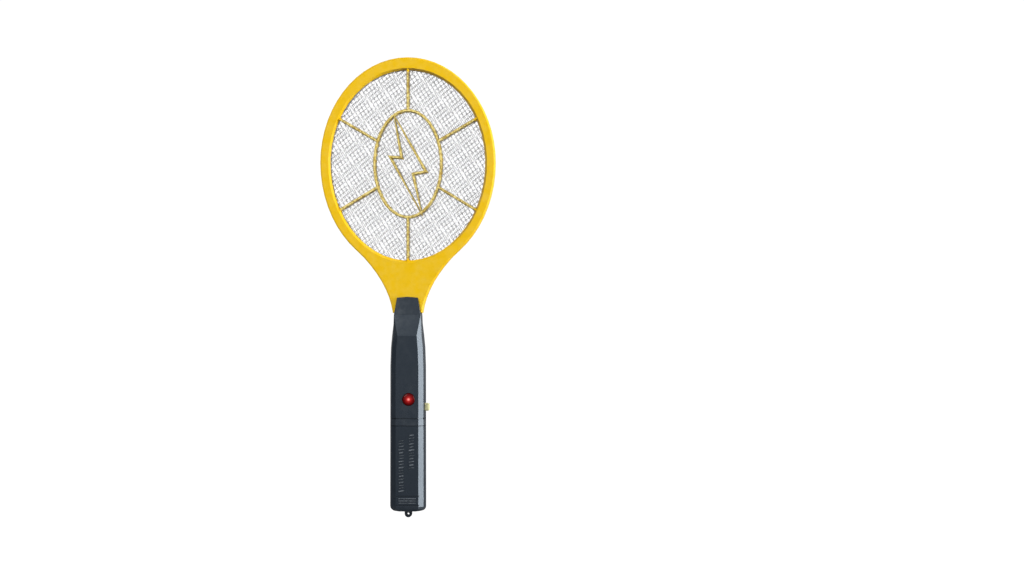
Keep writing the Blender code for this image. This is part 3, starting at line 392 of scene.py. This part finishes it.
def board_material():
    """Green solder mask with copper tracks showing through."""
    look = Look("board_mask")
    stops = [(0.3, shade(BOARD_GREEN, 0.85)), (0.7, shade(BOARD_GREEN, 1.15))]
    base = look.ramp(look.noise(60.0, 3.0), stops)
    tracks = look.node("ShaderNodeTexBrick", Scale=130.0)
    tracks.offset = 0.37
    tracks.inputs["Mortar Size"].default_value = 0.05
    mapping = look.node("ShaderNodeMapping")
    mapping.inputs["Rotation"].default_value = (math.pi / 2, 0, 0)
    look.join(look.coord, mapping.inputs["Vector"])
    look.join(mapping.outputs["Vector"], tracks.inputs["Vector"])
    base = look.mix(look.times(tracks.outputs["Fac"], 0.7), base, BOARD_TRACK)
    look.colour(base)
    look.roughness(look.spread(look.noise(300.0, 2.0), 0.25, 0.4))
    look.bump(tracks.outputs["Fac"], 0.00004, 0.6)
    return look


def banded(name, along, bands, rough, metallic=0.0, grain=900.0):
    """Colour bands across an axis: (place in metres, colour) pairs, each colour holding up to the next."""
    look = Look(name)
    low, high = bands[0][0], bands[-1][0] + MM
    share = look.spread(look.height(along), 0.0, 1.0, low, high)
    stops = [((place - low) / (high - low), colour) for place, colour in bands]
    made = look.node("ShaderNodeValToRGB")
    made.color_ramp.interpolation = "CONSTANT"
    while len(made.color_ramp.elements) < len(stops):
        made.color_ramp.elements.new(0.5)
    for element, (place, colour) in zip(made.color_ramp.elements, stops):
        element.position = place
        element.color = (*colour, 1.0)
    look.join(share, made.inputs["Fac"])
    fleck = look.spread(look.noise(grain, 3.0), 0.0, 0.3, 0.45, 0.75)
    look.colour(look.mix(fleck, made.outputs["Color"], (0.2, 0.2, 0.2), "MULTIPLY"))
    look.shader.inputs["Metallic"].default_value = metallic
    look.roughness(look.spread(look.noise(80.0, 4.0), rough - 0.06, rough + 0.1))
    look.bump(look.noise(grain, 2.0), 0.00002, 0.4)
    return look


def resistor(node, *rings):
    """Resistor body with colour rings, evenly spaced from its left."""
    bands = [(RESISTOR_LEFT, RESISTOR_BODY)]
    for i, ring in enumerate(rings):
        start = FIRST_RING + i * RING_STEP
        bands += [(start, ring), (start + RING_WIDTH, RESISTOR_BODY)]
    return banded(node + "_bands", "X", bands, 0.45)


def lens_material(centre):
    """Red tinted lens, lit from behind: a white-hot spot, a red core and a dark rim."""
    look = Look("lens_glow")
    share = look.spread(look.distance(centre, (1.0, 0.0, 1.0)), 0.0, 1.0, 0.0, LENS_RADIUS)
    ripple = look.spread(look.noise(700.0, 3.0), 0.85, 1.1)
    glow = look.ramp(
        share,
        [
            (0.0, (0.90, 0.48, 0.42)),
            (0.14, (0.58, 0.20, 0.17)),
            (0.30, (0.19, 0.006, 0.006)),
            (0.58, (0.050, 0.001, 0.001)),
            (0.88, (0.012, 0.0, 0.0)),
        ],
    )
    tinted = [(0.0, (0.45, 0.02, 0.02)), (0.7, (0.12, 0.002, 0.003)), (1.0, (0.05, 0.0, 0.0))]
    look.colour(look.ramp(share, tinted))
    look.join(glow, look.shader.inputs["Emission Color"])
    look.join(ripple, look.shader.inputs["Emission Strength"])
    look.shader.inputs["Specular IOR Level"].default_value = 0.10
    look.roughness(look.spread(look.noise(200.0, 3.0), 0.12, 0.24))
    look.bump(look.noise(500.0, 2.0), 0.00002, 0.3)
    return look


# ---- CAD nodes that are shown as they are ----
def smooth(obj, angle=35.0):
    """Smooth shading, with creases sharper than the angle kept."""
    for face in obj.data.polygons:
        face.use_smooth = True
    obj.data.set_sharp_from_angle(angle=math.radians(angle))


def wear_look(name, look, bevel=0.0, segments=2, angle=30.0):
    """Give a CAD node its material, and round its sharp edges by a bevel in millimetres."""
    obj = nodes[name]
    obj.data.materials.clear()
    obj.data.materials.append(look.material)
    if bevel:
        soft = obj.modifiers.new("soft edges", "BEVEL")
        soft.width = bevel * MM
        soft.segments = segments
        soft.limit_method = "ANGLE"
        soft.angle_limit = math.radians(angle)
        soft.harden_normals = True
        soft.use_clamp_overlap = True
    smooth(obj)
    return obj


# colour bands along the winding and the diodes: (place in metres, colour)
TAPE_BANDS = [(0.1357, TAPE), (0.1369, TAPE_TURN), (0.1427, TAPE)]
UPRIGHT_DIODE = [(0.1353, DIODE_BODY), (0.1413, DIODE_RING), (0.1420, DIODE_BODY)]
FLAT_DIODE = [(-0.0122, DIODE_BODY), (-0.0057, DIODE_RING), (-0.0050, DIODE_BODY)]

wear_look("front_frame", yellow, 0.5, 3)
wear_look("rear_frame", yellow, 0.5, 3)
wear_look("front_shell", black, 0.5, 3, 20)
wear_look("rear_shell", black, 0.5, 3, 20)
wear_look("battery_cover", cover_look, 0.4, 3, 20)
for name, look, bevel in (
    ("front_spacer", spacer_look, 0.2),
    ("rear_spacer", spacer_look, 0.2),
    ("bottom_bridge", nickel, 0.1),
    ("top_plate_positive", nickel, 0.1),
    ("top_plate_negative", nickel, 0.1),
    ("circuit_board", board_material(), 0.15),
    ("transformer_core", ferrite, 0.4),
    ("transformer_winding", banded("winding_tape", "Z", TAPE_BANDS, 0.4), 0.3),
    ("high_voltage_capacitor", red_dip, 0.0),
    ("smoothing_capacitor", blue_dip, 0.0),
    ("transistor", epoxy, 0.2),
    ("diode_1", banded("diode_1_bands", "Z", UPRIGHT_DIODE, 0.4), 0.0),
    ("diode_2", banded("diode_2_bands", "X", FLAT_DIODE, 0.4), 0.0),
    ("diode_3", banded("diode_3_bands", "X", FLAT_DIODE, 0.4), 0.0),
    ("resistor_1", resistor("resistor_1", BROWN_RING, BLACK_RING, RED_RING), 0.0),
    ("resistor_2", resistor("resistor_2", ORANGE_RING, ORANGE_RING, BLACK_RING), 0.0),
    ("indicator_led", plastic("led_tint", (0.62, 0.03, 0.02), 0.15, 0.1), 0.0),
    ("switch_body", switch_look, 0.25),
    ("switch_plunger", plunger_look, 0.2),
    ("side_button", button_look, 0.5),
    ("battery_wire_positive", red_wire, 0.0),
    ("battery_wire_negative", black_wire, 0.0),
    ("ground_lead_front", black_wire, 0.0),
    ("ground_lead_rear", black_wire, 0.0),
    ("high_voltage_lead", white_wire, 0.0),
    ("bottom_spring", nickel, 0.0),
    ("top_spring", nickel, 0.0),
):
    wear_look(name, look, bevel)


# ---- pieces built here ----
def closed_mesh(name, points, faces):
    """Mesh of a closed surface, with its faces turned outwards."""
    mesh = bpy.data.meshes.new(name)
    mesh.from_pydata([tuple(p) for p in points], [], faces)
    shape = bmesh.new()
    shape.from_mesh(mesh)
    bmesh.ops.recalc_face_normals(shape, faces=shape.faces)
    shape.to_mesh(mesh)
    shape.free()
    return mesh


def mesh_object(name, points, faces, look, body, *stands_for, sharp=35.0):
    """Visible piece that rides on a body and takes the place of the CAD nodes it stands for, if any."""
    mesh = closed_mesh(name, points, faces)
    mesh.materials.append(look.material)
    made = bpy.data.objects.new(name, mesh)
    bpy.context.scene.collection.objects.link(made)
    smooth(made, sharp)
    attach(made, body)
    if stands_for:
        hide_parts(*stands_for)
    return made


# the wire grids: the strands' spacing, the cells' side and sharp angle, and the strands' half sizes
STRAND_PITCH = 3.70 * MM
STRAND_SIDE = 3.77 * MM
ACUTE = math.radians(78.5)
JOINT_HALF_WIDTH = 0.36 * MM
STRAND_HALF_WIDTH = 0.21 * MM
STRAND_HALF_DEPTH = 0.17 * MM
STRAND_TILT = 0.45
JOINT_TILT_SHARE = 0.35
# the rim of a grid, as (step outwards, place along Y) in millimetres round its section
GRID_RIM = [(0.0, -0.2), (0.0, 0.2), (-2.0, 0.2), (-2.0, -0.2)]
GRID_RIM_SIDES = 120


def expanded_sheet(name, node, turn, look, flip, shift=(0.0, 0.0), grow=1.0):
    """Expanded-metal sheet: two families of strands, widened where they meet, inside an oval rim.

    turn leans the pattern over, and flip (1 or -1) tilts the strands one way or the other. shift moves the
    pattern aside and grow widens it, so that one sheet can stand in register with another.
    """
    pitch = STRAND_PITCH * grow
    low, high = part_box(node)
    centre = middle(node)
    half_x = (high.x - low.x) / 2
    half_z = (high.z - low.z) / 2
    points = []
    faces = []
    long_axis = math.pi / 2 + turn
    for family, lean in enumerate((ACUTE / 2, -ACUTE / 2)):
        angle = long_axis + lean
        along = Vector((math.cos(angle), math.sin(angle)))
        across = Vector((-along.y, along.x))
        reach = int(max(half_x, half_z) / pitch) + 1
        slide = Vector(shift)
        tilt = flip * (STRAND_TILT if family else -STRAND_TILT)
        for k in range(-reach, reach + 1):
            offset = across * ((k + 0.5) * pitch + slide.dot(across))
            a = (along.x / half_x) ** 2 + (along.y / half_z) ** 2
            b = 2 * (along.x * offset.x / half_x**2 + along.y * offset.y / half_z**2)
            c = (offset.x / half_x) ** 2 + (offset.y / half_z) ** 2 - 1
            inside = b * b - 4 * a * c
            if inside <= 0:
                continue
            start = (-b - math.sqrt(inside)) / (2 * a)
            end = (-b + math.sqrt(inside)) / (2 * a)
            if end - start < pitch:
                continue
            phase = (k + 0.5) * pitch / math.tan(ACUTE) * (-1 if family else 1) + slide.dot(along)
            step = STRAND_SIDE * grow / 2
            first = math.ceil((start - phase) / step)
            last = math.floor((end - phase) / step)
            places = [(i * step + phase, i % 2 == 1) for i in range(first, last + 1)]
            places = [(start, False)] + places + [(end, False)]
            base = len(points)
            for t, joint in places:
                spot = offset + along * t
                width = JOINT_HALF_WIDTH if joint else STRAND_HALF_WIDTH
                swing = tilt * (JOINT_TILT_SHARE if joint else 1.0)
                side = Vector((across.x * math.cos(swing), math.sin(swing), across.y * math.cos(swing)))
                up = Vector((-across.x * math.sin(swing), math.cos(swing), -across.y * math.sin(swing)))
                here = Vector((centre.x + spot.x, centre.y, centre.z + spot.y))
                for u, v in ((1, 1), (-1, 1), (-1, -1), (1, -1)):
                    points.append(here + side * (u * width) + up * (v * STRAND_HALF_DEPTH))
            count = len(places)
            for i in range(count - 1):
                for j in range(4):
                    n = (j + 1) % 4
                    p = base + i * 4
                    faces.append([p + j, p + n, p + 4 + n, p + 4 + j])
            faces.append([base + j for j in range(4)])
            faces.append([base + (count - 1) * 4 + j for j in (3, 2, 1, 0)])
    base = len(points)
    for outwards, y in GRID_RIM:
        for i in range(GRID_RIM_SIDES):
            angle = 2 * math.pi * i / GRID_RIM_SIDES
            x = (half_x + outwards * MM) * math.cos(angle)
            z = (half_z + outwards * MM) * math.sin(angle)
            points.append(Vector((centre.x + x, centre.y + y * MM, centre.z + z)))
    for level in range(len(GRID_RIM)):
        for i in range(GRID_RIM_SIDES):
            j = (i + 1) % GRID_RIM_SIDES
            a = base + level * GRID_RIM_SIDES
            b = base + (level + 1) % len(GRID_RIM) * GRID_RIM_SIDES
            faces.append([a + i, a + j, b + j, b + i])
    return mesh_object(name, points, faces, look, BODY, node, sharp=20.0)


TURN = math.radians(-1.75)
INNER_TURN = math.radians(-14.0)
expanded_sheet("front_mesh_strands", "front_mesh", TURN, grid_look, 1)
expanded_sheet("high_voltage_mesh_strands", "high_voltage_mesh", INNER_TURN, inner_look, -1)
# the rear sheet stands in register with the front one as seen from the camera
gap = middle("rear_mesh").y - middle("front_mesh").y
further = gap / (EYE_DISTANCE + middle("front_mesh").y)
from_eye = Vector((middle("rear_mesh").x - eye.x, middle("rear_mesh").z - eye.z))
expanded_sheet("rear_mesh_strands", "rear_mesh", TURN, grid_look, 1, from_eye * further, 1 + further)


ROUND_SIDES = 48


def lathe(name, centre, axis, profile, sides, look, body, *stands_for, sharp=35.0):
    """Solid of revolution. The profile lists (place along the axis, radius) in millimetres."""
    axis = Vector(axis).normalized()
    side = axis.orthogonal().normalized()
    other = axis.cross(side)
    points = []
    faces = []
    for place, radius in profile:
        for i in range(sides):
            angle = 2 * math.pi * i / sides
            out = side * math.cos(angle) + other * math.sin(angle)
            points.append(Vector(centre) + axis * (place * MM) + out * (radius * MM))
    for level in range(len(profile) - 1):
        for i in range(sides):
            j = (i + 1) % sides
            a = level * sides
            faces.append([a + i, a + j, a + sides + j, a + sides + i])
    faces.append(list(range(sides)))
    faces.append(list(range(len(points) - sides, len(points))))
    return mesh_object(name, points, faces, look, body, *stands_for, sharp=sharp)


# a screw in millimetres: its head as (height over its seat, share of the head's radius), its neck as (height
# over its seat, radius), a turn of its thread as (step, radius) and its tip as (height over its end, radius)
HEAD_HEIGHT = 1.5
HEAD_PROFILE = [(0.0, 1.0), (0.55, 1.0), (0.95, 0.93), (1.3, 0.72), (HEAD_HEIGHT, 0.4)]
NECK_PROFILE = [(-0.6, 1.05), (-0.02, 1.05)]
THREAD_TURN = [(0.0, 0.78), (0.3, 1.08), (0.4, 1.08)]
THREAD_PITCH = 0.7
THREAD_START = 1.4
THREAD_END = -1.2
TIP_PROFILE = [(0.0, 0.25), (1.2, 0.7)]
SCREW_SIDES = 20
# the cross cut into the head: its half sizes, and its ends as (height over the seat in millimetres, share)
CROSS_ARM = 1.15 * MM
CROSS_HALF = 0.26 * MM
CROSS_ENDS = [(2.2, 1.0), (0.35, 0.35)]


def cross_outline():
    """Outline of a cross: three of its points, turned four times by a quarter."""
    corner = [(CROSS_HALF, CROSS_HALF), (CROSS_ARM, CROSS_HALF), (CROSS_ARM, -CROSS_HALF)]
    outline = []
    for _ in range(4):
        outline += corner
        corner = [(z, -x) for x, z in corner]
    return outline


def cut(made, tool_mesh):
    """Cut a mesh out of a piece for good."""
    tool = bpy.data.objects.new(tool_mesh.name, tool_mesh)
    bpy.context.scene.collection.objects.link(tool)
    step = made.modifiers.new("cut", "BOOLEAN")
    step.operation = "DIFFERENCE"
    step.object = tool
    step.solver = "EXACT"
    bpy.context.view_layer.update()
    graph = bpy.context.evaluated_depsgraph_get()
    finished = bpy.data.meshes.new_from_object(made.evaluated_get(graph))
    made.modifiers.clear()
    made.data = finished
    smooth(made)
    bpy.data.objects.remove(tool, do_unlink=True)


def screw(node, toward):
    """Cross-head screw with a domed head and a threaded shank."""
    low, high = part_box(node)
    centre = middle(node)
    radius = (high.x - low.x) / 2 / MM
    length = (high.y - low.y) / MM - HEAD_HEIGHT
    seat = high.y - HEAD_HEIGHT * MM if toward > 0 else low.y + HEAD_HEIGHT * MM
    profile = [(place - length, out) for place, out in TIP_PROFILE]
    turn = THREAD_START - length
    while turn < THREAD_END:
        profile += [(turn + place, out) for place, out in THREAD_TURN]
        turn += THREAD_PITCH
    profile += NECK_PROFILE
    profile += [(place, radius * share) for place, share in HEAD_PROFILE]
    foot = (centre.x, seat, centre.z)
    made = lathe(node + "_turned", foot, (0, toward, 0), profile, SCREW_SIDES, steel, BODY, node)
    outline = cross_outline()
    count = len(outline)
    points = []
    for depth, share in CROSS_ENDS:
        for x, z in outline:
            points.append((centre.x + x * share, seat + toward * depth * MM, centre.z + z * share))
    faces = [list(range(count)), list(range(count, 2 * count))]
    faces += [[i, (i + 1) % count, (i + 1) % count + count, i + count] for i in range(count)]
    cut(made, closed_mesh(node + "_cross", points, faces))


for i in range(7):
    screw(f"head_screw_{i + 1}", 1)
for i in range(2):
    screw(f"neck_screw_{i + 1}", 1)
    screw(f"board_screw_{i + 1}", -1)
for i in range(3):
    screw(f"handle_screw_{i + 1}", 1)

# a cell in millimetres: (distance from its flat end, depth under its full radius), the same from its
# button end, and the button as (distance from its end, radius)
CELL_FLAT_END = [(0.0, 1.6), (0.1, 0.7), (0.5, 0.12), (0.9, 0.12), (0.92, 0.0)]
CELL_SHOULDER = [(2.1, 0.0), (1.6, 0.25), (1.25, 1.0)]
CELL_BUTTON = [(1.25, 2.8), (1.1, 2.6), (0.2, 2.6), (0.0, 2.3)]
SLEEVE_START = 0.92
CELL_BANDS = [(16.0, CELL_GOLD), (15.0, CELL_SLEEVE), (14.0, CELL_GOLD), (1.2, CELL_CAN)]


def cell(node, sense):
    """AA cell in its sleeve, with its button end up, or down where sense is -1."""
    low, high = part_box(node)
    centre = middle(node)
    radius = (high.x - low.x) / 2 / MM
    half = (high.z - low.z) / 2 / MM
    profile = [(place - half, radius - depth) for place, depth in CELL_FLAT_END]
    profile += [(half - place, radius - depth) for place, depth in CELL_SHOULDER]
    profile += [(half - place, out) for place, out in CELL_BUTTON]
    ends = [(-half, CELL_CAN), (SLEEVE_START - half, CELL_SLEEVE)]
    ends += [(half - place, colour) for place, colour in CELL_BANDS]
    if sense > 0:
        bands = [(centre.z + place * MM, colour) for place, colour in ends]
    else:
        places = [-half] + [-place for place, _ in reversed(ends[1:])]
        colours = [colour for _, colour in reversed(ends)]
        bands = [(centre.z + place * MM, colour) for place, colour in zip(places, colours)]
    look = banded(node + "_sleeve", "Z", bands, 0.28, 0.55)
    lathe(node + "_can", centre, (0, 0, sense), profile, ROUND_SIDES, look, BODY, node)


cell("cell_1", 1)
cell("cell_2", -1)

LENS_PROFILE = [(0.0, 5.9), (2.3, 5.9), (2.6, 5.75), (2.9, 5.3)]
LENS_PROFILE += [(3.15, 4.4), (3.3, 3.2), (3.38, 1.8), (3.4, 0.5)]
lens_centre = middle("indicator_lens")
lens_seat = (lens_centre.x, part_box("indicator_lens")[1].y, lens_centre.z)
lens_look = lens_material(lens_centre)
forward = (0, -1, 0)
lathe("indicator_lens_dome", lens_seat, forward, LENS_PROFILE, ROUND_SIDES, lens_look, BODY, "indicator_lens")

# the lip moulded inside the handle's seam, which closes the view through it, in millimetres: its rows as
# (height over the handle's end, distance from the middle), and its section as (step outwards, place along Y).
# The right one is broken where the side button is.
HANDLE_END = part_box("battery_cover")[0].z / MM
LIP_ROWS = [(2.4, 15.4), (94.5, 15.27), (106.5, 15.25), (140.0, 15.2), (158.0, 14.6), (168.0, 13.65)]
LIP_SECTION = [(0.0, -1.2), (0.0, 1.2), (-0.5, 1.2), (-0.7, 0.8), (-0.7, -0.8), (-0.5, -1.2)]


def seam_lip(name, side, rows):
    """Strip that follows the inside of the seam on one side of the handle."""
    points = []
    for height, out in rows:
        for outwards, y in LIP_SECTION:
            points.append((side * (out + outwards) * MM, y * MM, (height + HANDLE_END) * MM))
    count = len(LIP_SECTION)
    faces = [list(range(count)), list(range(len(points) - count, len(points)))]
    for level in range(len(rows) - 1):
        for i in range(count):
            a = level * count + i
            b = level * count + (i + 1) % count
            faces.append([a, b, b + count, a + count])
    mesh_object(name, points, faces, black, BODY)


seam_lip("seam_lip_left", -1, LIP_ROWS)
seam_lip("seam_lip_right_lower", 1, LIP_ROWS[:2])
seam_lip("seam_lip_right_upper", 1, LIP_ROWS[2:])

# ---- floor, light and camera ----
FLOOR_Z = -0.45
FLOOR_HALF = 12.0
FLOOR_BOUNCE = (0.16, 0.16, 0.16)
FLOOR_GLOW = 0.75
FLOOR_GLOW_UNSEEN = 0.02
CORNERS = [(-1, -1), (1, -1), (1, 1), (-1, 1)]
floor_mesh = bpy.data.meshes.new("floor")
floor_mesh.from_pydata([(x * FLOOR_HALF, y * FLOOR_HALF, 0) for x, y in CORNERS], [], [[0, 1, 2, 3]])
floor = bpy.data.objects.new("floor", floor_mesh)
floor.location.z = FLOOR_Z
bpy.context.scene.collection.objects.link(floor)
# white to the camera, but dark to other rays, so that it throws little light up
floor_look = Look("floor_paint")
pale = floor_look.ramp(floor_look.noise(3.0), [(0.3, (0.86, 0.86, 0.86)), (0.7, (0.9, 0.9, 0.9))])
floor_look.shader.inputs["Roughness"].default_value = 0.9
floor_look.shader.inputs["Emission Color"].default_value = (1.0, 1.0, 1.0, 1.0)
seen = floor_look.node("ShaderNodeLightPath").outputs["Is Camera Ray"]
floor_look.colour(floor_look.mix(seen, FLOOR_BOUNCE, pale))
glow = floor_look.spread(seen, FLOOR_GLOW_UNSEEN, FLOOR_GLOW, 0.0, 1.0)
floor_look.join(glow, floor_look.shader.inputs["Emission Strength"])
floor_mesh.materials.append(floor_look.material)

# the world is white to the camera. Its light grows from left to right, and from the middle to the front
WORLD_SEEN = 1.05
WORLD_LEFT = 0.11
WORLD_RIGHT = 0.46
WORLD_FRONT = 0.42
world = bpy.data.worlds.new("studio")
bpy.context.scene.world = world
world.use_nodes = True
tree = world.node_tree
heading = tree.nodes.new("ShaderNodeSeparateXYZ")
tree.links.new(tree.nodes.new("ShaderNodeTexCoord").outputs["Generated"], heading.inputs[0])


def world_range(source, from_low, from_high, to_low, to_high):
    """Map Range node in the world's tree."""
    made = tree.nodes.new("ShaderNodeMapRange")
    made.inputs["From Min"].default_value = from_low
    made.inputs["From Max"].default_value = from_high
    made.inputs["To Min"].default_value = to_low
    made.inputs["To Max"].default_value = to_high
    tree.links.new(source, made.inputs["Value"])
    return made


across = world_range(heading.outputs["X"], -1.0, 1.0, WORLD_LEFT, WORLD_RIGHT)
ahead = world_range(heading.outputs["Y"], -1.0, 0.0, WORLD_FRONT, 0.0)
both = tree.nodes.new("ShaderNodeMath")
tree.links.new(across.outputs["Result"], both.inputs[0])
tree.links.new(ahead.outputs["Result"], both.inputs[1])
camera_ray = tree.nodes.new("ShaderNodeLightPath").outputs["Is Camera Ray"]
level = world_range(camera_ray, 0.0, 1.0, 0.0, WORLD_SEEN)
tree.links.new(both.outputs[0], level.inputs["To Min"])
backdrop = tree.nodes["Background"]
backdrop.inputs["Color"].default_value = (1.0, 1.0, 1.0, 1.0)
tree.links.new(level.outputs["Result"], backdrop.inputs["Strength"])


def softbox(name, at, aim, width, height, power):
    """Rectangular lamp turned towards a point."""
    lamp = bpy.data.lights.new(name, "AREA")
    lamp.shape = "RECTANGLE"
    lamp.size = width
    lamp.size_y = height
    lamp.energy = power
    holder = bpy.data.objects.new(name, lamp)
    holder.location = at
    holder.rotation_mode = "QUATERNION"
    holder.rotation_quaternion = (Vector(aim) - Vector(at)).to_track_quat("-Z", "Y")
    bpy.context.scene.collection.objects.link(holder)


MIDDLE = Vector((0.0, 0.0, 0.22))
softbox("key_right", (2.3, -0.42, 0.42), MIDDLE, 0.92, 2.5, 84.0)
softbox("fill_front", (-1.15, -2.0, 1.3), MIDDLE, 1.2, 1.0, 29.0)
softbox("back_left", (-1.3, 1.8, 1.2), MIDDLE, 1.0, 1.0, 36.0)

aim = Vector((VIEW_ASIDE, 0.0, eye.z))
camera = bpy.data.cameras.new("camera")
camera.lens = LENS
camera.sensor_width = SENSOR
holder = bpy.data.objects.new("camera", camera)
holder.location = eye
holder.rotation_mode = "QUATERNION"
holder.rotation_quaternion = (aim - eye).to_track_quat("-Z", "Y")
bpy.context.scene.collection.objects.link(holder)
bpy.context.scene.camera = holder
bpy.context.scene.view_settings.view_transform = "Standard"
